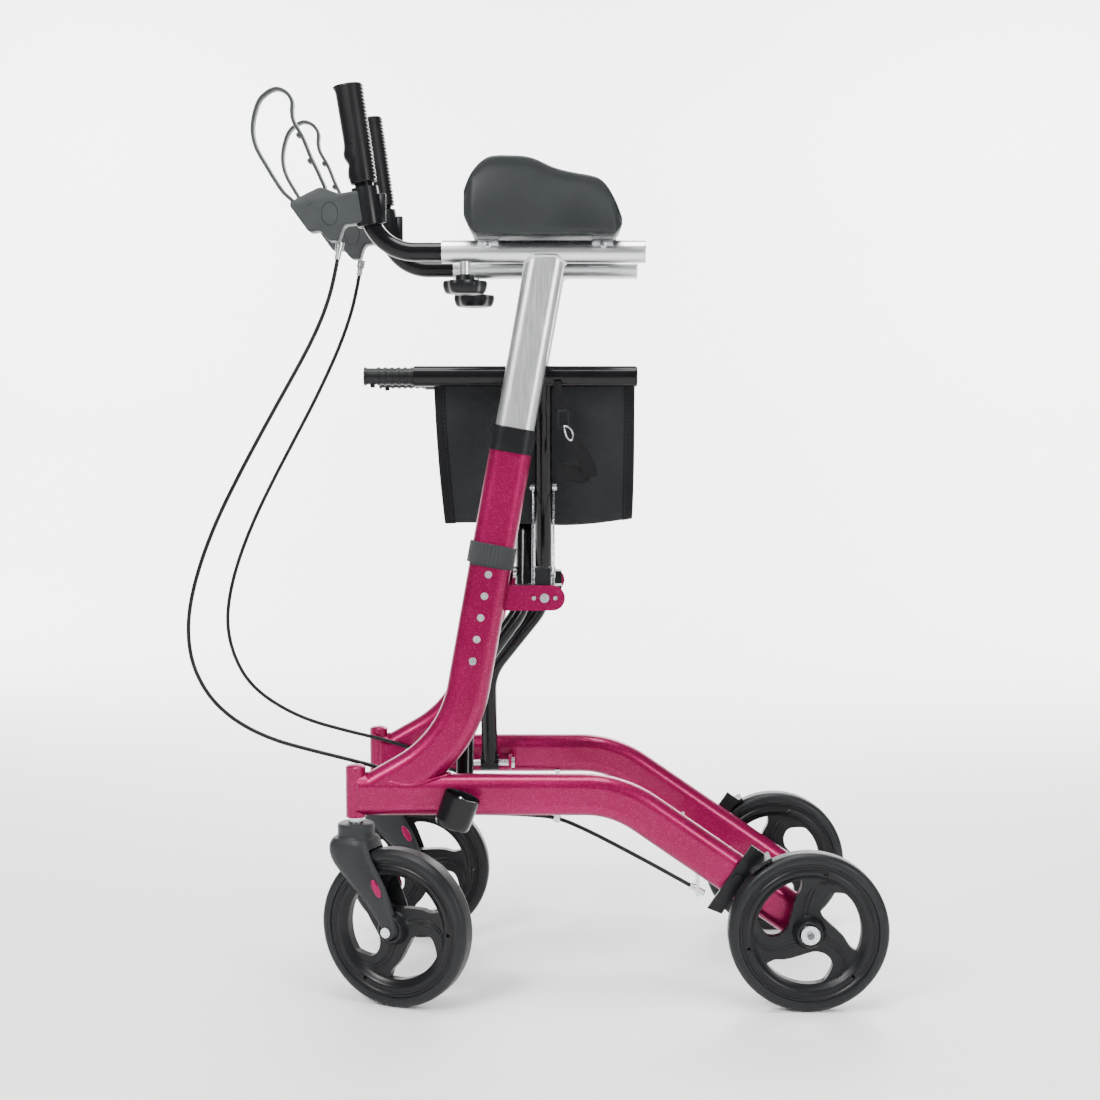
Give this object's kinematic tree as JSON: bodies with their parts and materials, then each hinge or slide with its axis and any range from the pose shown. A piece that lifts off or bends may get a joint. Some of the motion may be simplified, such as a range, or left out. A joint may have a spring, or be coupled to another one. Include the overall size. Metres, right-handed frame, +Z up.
{
  "type": "upright folding walker",
  "caption": "Upright walker on swivelling front and fixed rear wheels, with forearm rests, hand grips, loop brake levers, a seat sling and a cane cup, shown folded sideways.",
  "frame": {"origin": "bottom centre of the folded walker's box, on the floor", "axes": "+X to the rear, -Y to the user's left, +Z up"},
  "size_m": [0.8357, 0.3949, 1.0917],
  "materials": {
    "magenta_paint": "metal flake gloss",
    "black_plastic": "moulded",
    "steel_hardware": "bright zinc",
    "cable_sheath": "satin",
    "rim_plastic": "satin",
    "tyre_rubber": "matte",
    "fork_plastic": "fine texture",
    "silver_tube": "satin anodised",
    "pad_foam": "skinned foam",
    "black_tube": "gloss powder coat",
    "grip_rubber": "matte",
    "housing_plastic": "satin",
    "lever_plastic": "satin",
    "black_webbing": "woven",
    "seat_mesh": "coarse mesh"
  },
  "bodies": {
    "side_left": {"rail_left": "magenta_paint", "upright_left": "magenta_paint", "collar_left": "black_plastic", "saddle_left": "black_plastic", "side_bolts_left": "steel_hardware", "brake_cable_left": "cable_sheath", "cane_cup_left": "black_plastic", "fastening_band_left": "black_webbing"},
    "mast_left": {"mast_left": "silver_tube", "arm_tube_left": "silver_tube", "arm_pad_left": "pad_foam", "pad_brackets_left": "steel_hardware"},
    "handle_left": {"handle_tube_left": "black_tube", "grip_left": "grip_rubber", "brake_housing_left": "housing_plastic", "cable_adjuster_left": "steel_hardware"},
    "lever_left": {"brake_lever_left": "lever_plastic"},
    "knob_left": {"clamp_knob_left": "black_plastic"},
    "caster_left": {"fork_left": "fork_plastic", "fork_metal_left": "steel_hardware"},
    "front_wheel_left": {"front_rim_left": "rim_plastic", "front_tyre_left": "tyre_rubber"},
    "rear_wheel_left": {"rear_rim_left": "rim_plastic", "rear_tyre_left": "tyre_rubber"},
    "shoe_left": {"brake_shoe_left": "black_plastic"},
    "stay_body_left": {"stay_left": "steel_hardware"},
    "bar_left": {"cross_bar_left": "black_tube", "seat_tube_right": "black_tube", "seat_plug_right": "black_plastic", "centre_pivot": "steel_hardware"},
    "side_right": {"rail_right": "magenta_paint", "upright_right": "magenta_paint", "collar_right": "black_plastic", "saddle_right": "black_plastic", "side_bolts_right": "steel_hardware", "brake_cable_right": "cable_sheath"},
    "mast_right": {"mast_right": "silver_tube", "arm_tube_right": "silver_tube", "arm_pad_right": "pad_foam", "pad_brackets_right": "steel_hardware"},
    "handle_right": {"handle_tube_right": "black_tube", "grip_right": "grip_rubber", "brake_housing_right": "housing_plastic", "cable_adjuster_right": "steel_hardware"},
    "lever_right": {"brake_lever_right": "lever_plastic"},
    "knob_right": {"clamp_knob_right": "black_plastic"},
    "caster_right": {"fork_right": "fork_plastic", "fork_metal_right": "steel_hardware"},
    "front_wheel_right": {"front_rim_right": "rim_plastic", "front_tyre_right": "tyre_rubber"},
    "rear_wheel_right": {"rear_rim_right": "rim_plastic", "rear_tyre_right": "tyre_rubber"},
    "shoe_right": {"brake_shoe_right": "black_plastic"},
    "stay_body_right": {"stay_right": "steel_hardware"},
    "bar_right": {"cross_bar_right": "black_tube", "seat_tube_left": "black_tube", "seat_plug_left": "black_plastic", "seat_sling": "seat_mesh", "fold_strap": "black_webbing"}
  },
  "joints": [
    {"name": "fold", "type": "hinge", "parent": "side_left", "child": "bar_left", "pos_m": [-0.128, -0.096, 0.244], "axis": [-1, 0, 0], "range_deg": [0, 38.18]},
    {"name": "scissor", "type": "hinge", "parent": "bar_left", "child": "bar_right", "pos_m": [-0.0325, 0, 0.50579], "axis": [1, 0, 0], "range_deg": [0, 76.38], "deforming": ["seat_sling", "fold_strap"]},
    {"name": "side_right_pivot", "type": "hinge", "parent": "bar_right", "child": "side_right", "pos_m": [-0.105, 0.096, 0.244], "axis": [-1, 0, 0], "range_deg": [0, 38.19]},
    {"name": "stay_left_pivot", "type": "hinge", "parent": "side_left", "child": "stay_body_left", "pos_m": [-0.0325, -0.086, 0.488], "axis": [-1, 0, 0], "range_deg": [0, 85.87]},
    {"name": "mast_height_left", "type": "slide", "parent": "side_left", "child": "mast_left", "axis": [0.1771, 0.0337, 0.9836], "range_m": [0, 0.104], "deforming": ["brake_cable_left"]},
    {"name": "handle_reach_left", "type": "slide", "parent": "mast_left", "child": "handle_left", "axis": [-1, 0, 0], "range_m": [0, 0.06], "deforming": ["brake_cable_left"]},
    {"name": "lever_left_squeeze", "type": "hinge", "parent": "handle_left", "child": "lever_left", "pos_m": [-0.307, -0.11195, 0.951], "axis": [0, 1, 0], "range_deg": [0, 18], "stiffness_Nm_per_rad": 1},
    {"name": "shoe_left_press", "type": "hinge", "parent": "side_left", "child": "shoe_left", "pos_m": [0.199, -0.151, 0.1533], "axis": [0, 1, 0], "range_deg": [0, 1.41]},
    {"name": "knob_left_turn", "type": "hinge", "parent": "mast_left", "child": "knob_left", "pos_m": [-0.1246, -0.11195, 0.8593], "axis": [0, 0, 1], "range_deg": [0, 360]},
    {"name": "caster_left_swivel", "type": "hinge", "parent": "side_left", "child": "caster_left", "pos_m": [-0.256, -0.134, 0.223], "axis": [0, 0, 1], "continuous": true},
    {"name": "front_wheel_left_spin", "type": "hinge", "parent": "caster_left", "child": "front_wheel_left", "pos_m": [-0.20593, -0.15423, 0.095], "axis": [0.3746, 0.9272, 0], "continuous": true},
    {"name": "rear_wheel_left_spin", "type": "hinge", "parent": "side_left", "child": "rear_wheel_left", "pos_m": [0.281, -0.169, 0.095], "axis": [0, 1, 0], "continuous": true},
    {"name": "stay_right_pivot", "type": "hinge", "parent": "side_right", "child": "stay_body_right", "pos_m": [-0.0565, 0.086, 0.488], "axis": [1, 0, 0], "range_deg": [0, 85.87]},
    {"name": "mast_height_right", "type": "slide", "parent": "side_right", "child": "mast_right", "axis": [0.1771, -0.0337, 0.9836], "range_m": [0, 0.104], "deforming": ["brake_cable_right"]},
    {"name": "handle_reach_right", "type": "slide", "parent": "mast_right", "child": "handle_right", "axis": [-1, 0, 0], "range_m": [0, 0.06], "deforming": ["brake_cable_right"]},
    {"name": "lever_right_squeeze", "type": "hinge", "parent": "handle_right", "child": "lever_right", "pos_m": [-0.307, 0.11195, 0.951], "axis": [0, 1, 0], "range_deg": [0, 18], "stiffness_Nm_per_rad": 1},
    {"name": "shoe_right_press", "type": "hinge", "parent": "side_right", "child": "shoe_right", "pos_m": [0.199, 0.151, 0.1533], "axis": [0, 1, 0], "range_deg": [0, 1.41]},
    {"name": "knob_right_turn", "type": "hinge", "parent": "mast_right", "child": "knob_right", "pos_m": [-0.1246, 0.11195, 0.8593], "axis": [0, 0, 1], "range_deg": [0, 360]},
    {"name": "caster_right_swivel", "type": "hinge", "parent": "side_right", "child": "caster_right", "pos_m": [-0.256, 0.134, 0.223], "axis": [0, 0, 1], "continuous": true},
    {"name": "front_wheel_right_spin", "type": "hinge", "parent": "caster_right", "child": "front_wheel_right", "pos_m": [-0.20207, 0.13117, 0.095], "axis": [0.0523, 0.9986, 0], "continuous": true},
    {"name": "rear_wheel_right_spin", "type": "hinge", "parent": "side_right", "child": "rear_wheel_right", "pos_m": [0.281, 0.169, 0.095], "axis": [0, 1, 0], "continuous": true}
  ],
  "couplings": [
    {"joint": "scissor", "follows": "fold", "ratio": 2},
    {"joint": "side_right_pivot", "follows": "fold", "ratio": 1},
    {"joint": "stay_left_pivot", "follows": "fold", "ratio": 2.2488},
    {"joint": "shoe_left_press", "follows": "lever_left_squeeze", "ratio": 0.077778},
    {"joint": "stay_right_pivot", "follows": "fold", "ratio": 2.2488},
    {"joint": "shoe_right_press", "follows": "lever_right_squeeze", "ratio": 0.077778}
  ]
}
